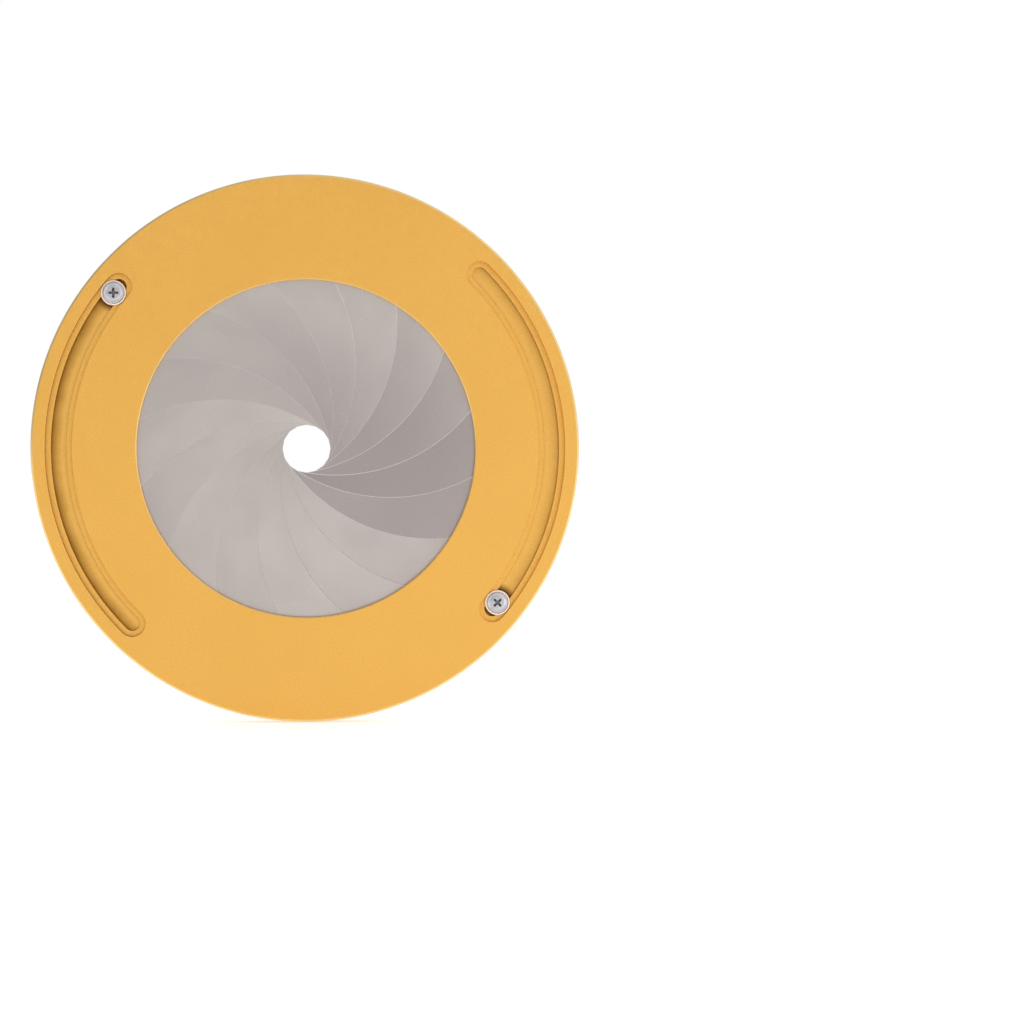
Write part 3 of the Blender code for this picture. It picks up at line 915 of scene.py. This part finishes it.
def make_scale(etch, witness):
    shape = bmesh.new()
    height = DISC_FRONT + MARK_LIFT
    for reading in range(FIRST_READING, LAST_READING + 1):
        inner = LONG_TICK_INNER if reading % 5 == 0 else SHORT_TICK_INNER
        width = LONG_TICK_WIDTH if reading % 10 == 0 else SHORT_TICK_WIDTH
        mark_quad(shape, reading_angle(reading), (inner, height), (TICK_OUTER, height), width)
    for number in DIGITS:
        foot = on_circle(DIGIT_BASE, reading_angle(number * 10) + 180.0)
        turn = math.radians(reading_angle(number * 10) + 270.0)
        place = Matrix.Translation((*foot, height)) @ Matrix.Rotation(turn, 4, "Z")
        for path in DIGITS[number]:
            place.translation.z += STROKE_LIFT
            add_stroke(shape, [point * DIGIT_HEIGHT for point in path], DIGIT_STROKE / 2, place)
    piece("scale_marks", to_mesh("scale_marks", shape), [etch], "dial")

    index = bmesh.new()
    face = FRONT + MARK_LIFT
    edge = (OUTER_RADIUS - EDGE_CHAMFER, face)
    mark_quad(index, INDEX_ANGLE, (RIM_INNER_RADIUS + FINE_CHAMFER, face), edge, INDEX_WIDTH)
    mark_quad(index, INDEX_ANGLE, edge, (OUTER_RADIUS, face - EDGE_CHAMFER), INDEX_WIDTH)
    piece("index_mark", to_mesh("index_mark", index), [etch], "housing")

    # Traces along one side of each drive slot: a real mark, drawn in a lighter gold as a painted
    # highlight where it catches the light
    traces = bmesh.new()
    for i in range(BLADE_COUNT):
        angle = drive_slot_angle(i) + 180.0 + WITNESS_LEAD
        inner, outer = [(radius, height) for radius in WITNESS_SPAN]
        mark_quad(traces, angle, inner, outer, WITNESS_WIDTH)
    piece("slot_witness_marks", to_mesh("slot_witness_marks", traces), [witness], "dial")


# Numerals as pen strokes, in digit heights, with the foot's middle at the origin

def line(*points):
    return [Vector(point) for point in points]


def sweep(middle, radii, start, end):
    """An elliptical pen stroke, from one angle to another."""
    path = []
    for i in range(STROKE_STEPS + 1):
        turn = on_circle(1.0, start + (end - start) * i / STROKE_STEPS)
        path.append(Vector((middle[0] + radii[0] * turn.x, middle[1] + radii[1] * turn.y)))
    return path


DIGITS = {
    1: [line((-0.17, 0.78), (-0.03, 0.86), (0.07, 1.0), (0.07, 0.0))],
    2: [sweep((0.0, 0.72), (0.27, 0.28), 172.0, -38.0) + line((-0.29, 0.0), (0.3, 0.0))],
    3: [sweep((-0.01, 0.76), (0.24, 0.24), 165.0, -90.0),
        sweep((-0.01, 0.26), (0.28, 0.26), 90.0, -165.0)],
    4: [line((0.13, 0.0), (0.13, 1.0), (-0.31, 0.26)), line((-0.34, 0.26), (0.32, 0.26))],
    5: [line((0.26, 1.0), (-0.17, 1.0), (-0.25, 0.53))
        + sweep((0.0, 0.32), (0.28, 0.32), 135.0, -162.0)],
    6: [sweep((0.02, 0.62), (0.29, 0.38), 35.0, 180.0) + line((-0.28, 0.32)),
        sweep((0.0, 0.31), (0.28, 0.31), 178.0, -178.0)],
    7: [line((-0.29, 1.0), (0.3, 1.0), (0.1, 0.68), (-0.03, 0.35), (-0.09, 0.0))],
}


def add_stroke(shape, path, half, place):
    """A flat ribbon along a path, with mitred corners."""
    sides = []
    for i, point in enumerate(path):
        before = (point - path[i - 1]).normalized() if i else None
        after = (path[i + 1] - point).normalized() if i + 1 < len(path) else None
        if before and after:
            middle = (before + after).normalized()
            reach = half / max(0.5, middle.dot(after))
        else:
            middle = before or after
            reach = half
        across = Vector((-middle.y, middle.x)) * reach
        pair = [place @ (point + offset).to_3d() for offset in (across, -across)]
        sides.append([shape.verts.new(corner) for corner in pair])
    for here, after in zip(sides, sides[1:]):
        shape.faces.new((here[0], here[1], after[1], after[0]))


# ---------------------------------------------------------------- stage, light and camera

def make_floor():
    material, tree, shader = shader_tree("pale_floor", 0.0)
    shader.inputs["Base Color"].default_value = (0.80, 0.80, 0.80, 1.0)
    shader.inputs["Roughness"].default_value = 0.6
    shader.inputs["Specular IOR Level"].default_value = 0.2
    shader.inputs["Emission Color"].default_value = (1.0, 1.0, 1.0, 1.0)
    shader.inputs["Emission Strength"].default_value = 0.5
    shape = bmesh.new()
    bmesh.ops.create_circle(shape, cap_ends=True, segments=96, radius=FLOOR_RADIUS)
    mesh = to_mesh("floor", shape)
    mesh.materials.append(material)
    floor = bpy.data.objects.new("floor", mesh)
    floor.location.z = CAD_LOW.z - FLOOR_DROP
    bpy.context.scene.collection.objects.link(floor)


def soft_light(name, power, size, place):
    light = bpy.data.lights.new(name, "AREA")
    light.energy = power
    light.size = size
    obj = bpy.data.objects.new(name, light)
    obj.location = place
    obj.rotation_mode = "QUATERNION"
    obj.rotation_quaternion = (-Vector(place)).to_track_quat("-Z", "Y")
    bpy.context.scene.collection.objects.link(obj)


def graded_world():
    """A soft white tent, brightest in a ring about the disc's axis, and brighter to one side."""
    world = bpy.data.worlds.new("tent")
    world.use_nodes = True
    tree = world.node_tree
    background = tree.nodes["Background"]
    where = tree.nodes.new("ShaderNodeTexCoord")
    parts = tree.nodes.new("ShaderNodeSeparateXYZ")
    tree.links.new(where.outputs["Generated"], parts.inputs["Vector"])
    across = ranged(tree, parts.outputs["X"], TENT_LEFT, TENT_RIGHT, -0.6, 0.6)
    ring = tree.nodes.new("ShaderNodeValToRGB")
    ring.color_ramp.interpolation = "B_SPLINE"
    tree.links.new(calculated(tree, "ABSOLUTE", parts.outputs["Y"]), ring.inputs["Fac"])
    stops = ring.color_ramp.elements
    stops.remove(stops[1])
    stops[0].color = (TENT_RING[0][1], TENT_RING[0][1], TENT_RING[0][1], 1.0)
    for place, level in TENT_RING[1:]:
        stops.new(place).color = (level, level, level, 1.0)
    tent = calculated(tree, "MULTIPLY", across, ring.outputs["Color"])
    ray = tree.nodes.new("ShaderNodeLightPath")
    strength = tree.nodes.new("ShaderNodeMix")
    strength.inputs["B"].default_value = 1.0
    tree.links.new(ray.outputs["Is Camera Ray"], strength.inputs["Factor"])
    tree.links.new(tent, strength.inputs["A"])
    background.inputs["Color"].default_value = (1.0, 1.0, 1.0, 1.0)
    tree.links.new(strength.outputs["Result"], background.inputs["Strength"])
    return world


def make_lights():
    bpy.context.scene.world = graded_world()
    for name, power, size, place in LIGHTS:
        soft_light(name, power, size, place)
    bpy.context.scene.view_settings.view_transform = "Standard"


def make_camera():
    """A long lens on the disc's axis, turned so that the disc sits left of and above the middle."""
    data = bpy.data.cameras.new("camera")
    data.lens = LENS
    data.sensor_width = SENSOR
    camera = bpy.data.objects.new("camera", data)
    across = DISC_IN_FRAME[0] * SENSOR
    up = DISC_IN_FRAME[1] * SENSOR
    reach = math.sqrt(across ** 2 + up ** 2 + LENS ** 2)
    yaw = math.asin(-across / reach)
    pitch = math.asin(up / (reach * math.cos(yaw)))
    distance = LENS / SENSOR * OUTER_RADIUS / DISC_SHARE
    camera.location = (0.0, -distance, 0.0)
    camera.rotation_euler = (math.radians(90.0) - pitch, 0.0, -yaw)
    bpy.context.scene.collection.objects.link(camera)
    bpy.context.scene.camera = camera


def main():
    gold = anodised("gold_anodised", (0.87, 0.48, 0.112), (0.83, 0.455, 0.10), 0.40, 5200.0)
    scale_gold = anodised("gold_scale", (0.70, 0.385, 0.085), (0.64, 0.345, 0.075), 0.34, 6500.0)
    slot_wall = slot_wall_painted_shade()
    slot_floor = slot_floor_painted_shade()
    bright = bright_cut("gold_bright_cut", (0.86, 0.64, 0.29), 0.26)
    steel = blade_steel()
    pin_steel = plain_metal("pin_steel", (0.60, 0.59, 0.58), 0.3)
    blade_edge = blade_edge_steel()
    brass = plain_metal("sleeve_brass", (1.0, 0.84, 0.72), 0.36)
    screw_steel = plain_metal("screw_steel", (0.56, 0.55, 0.575), 0.32)
    # A dark steel for the painted shade deep in the screws' recesses
    recess_painted_shade = plain_metal("recess_painted_shade", (0.20, 0.20, 0.21), 0.4)
    etch = etched_marking()
    # Lighter gold for the slot traces: a painted highlight on a real mark
    witness = bright_cut("slot_witness", (0.82, 0.50, 0.16), 0.32)

    make_housing(gold, bright, slot_wall)
    make_scale_disc(scale_gold, bright, slot_floor)
    make_blades(steel, blade_edge)
    make_guides(brass, screw_steel, recess_painted_shade)
    make_scale(etch, witness)
    for name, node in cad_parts.items():
        if "_pin_" in name:
            node.data.materials.clear()
            node.data.materials.append(pin_steel)

    make_floor()
    make_lights()
    make_camera()


main()
